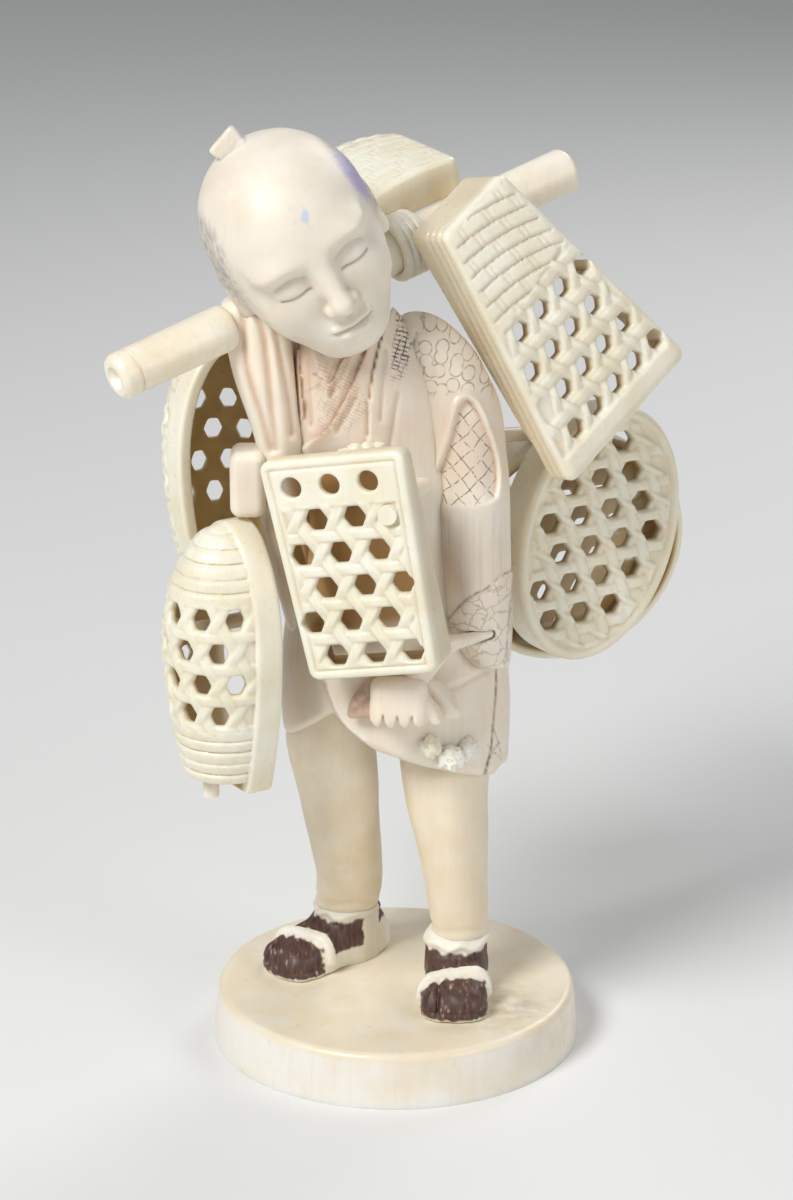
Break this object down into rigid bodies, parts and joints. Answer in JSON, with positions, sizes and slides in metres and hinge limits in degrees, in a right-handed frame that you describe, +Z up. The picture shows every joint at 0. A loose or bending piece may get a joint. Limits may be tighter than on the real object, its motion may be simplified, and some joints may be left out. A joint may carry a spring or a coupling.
{
  "type": "okimono carving",
  "caption": "Carved standing figure of a basket seller with a shoulder pole and pierced baskets, on a round turned stand.",
  "frame": {"origin": "centre of the stand's underside", "axes": "+Z up, +X to the viewer's right, -Y towards the viewer whom the figure faces"},
  "size_m": [0.1072, 0.0828, 0.1807],
  "materials": {
    "robe_ivory": "polished natural ivory with a warm cream tone, brown ink patterns in engraved lines",
    "head_ivory": "polished natural ivory, greyer than the robe, faint grain and a grey tint where the hair is",
    "basket_ivory": "polished ivory, thin and translucent, yellower than the robe, amber in the recesses",
    "peg_ivory": "turned polished ivory with warm edges",
    "stand_ivory": "turned polished ivory, pale and smooth",
    "stained_ivory": "ivory stained dark brown, with pale straw straps left unstained"
  },
  "bodies": {
    "root": {"back_basket": "basket_ivory", "back_peg": "peg_ivory", "back_strut": "peg_ivory", "front_basket": "basket_ivory", "front_basket_pin": "peg_ivory", "head": "head_ivory", "held_pouch": "robe_ivory", "left_foot": "stained_ivory", "left_forearm": "robe_ivory", "left_hand": "robe_ivory", "left_hip_basket": "basket_ivory", "left_hip_peg": "peg_ivory", "left_leg": "robe_ivory", "left_leg_pin": "peg_ivory", "left_shoulder_basket": "basket_ivory", "left_shoulder_peg": "peg_ivory", "left_sleeve": "robe_ivory", "lower_skirt_stub": "peg_ivory", "neck": "head_ivory", "pole_dowel": "peg_ivory", "pole_front": "peg_ivory", "pole_lashing": "peg_ivory", "pole_rear": "peg_ivory", "right_back_basket": "basket_ivory", "right_back_peg": "peg_ivory", "right_cuff": "robe_ivory", "right_foot": "stained_ivory", "right_hip_basket": "basket_ivory", "right_hip_peg": "peg_ivory", "right_hip_stub": "peg_ivory", "right_leg": "robe_ivory", "right_leg_pin": "peg_ivory", "right_sleeve": "robe_ivory", "robe": "robe_ivory", "shoulder_basket": "basket_ivory", "shoulder_peg": "peg_ivory", "stand": "stand_ivory", "topknot": "head_ivory", "upper_skirt_stub": "peg_ivory"}
  },
  "joints": []
}
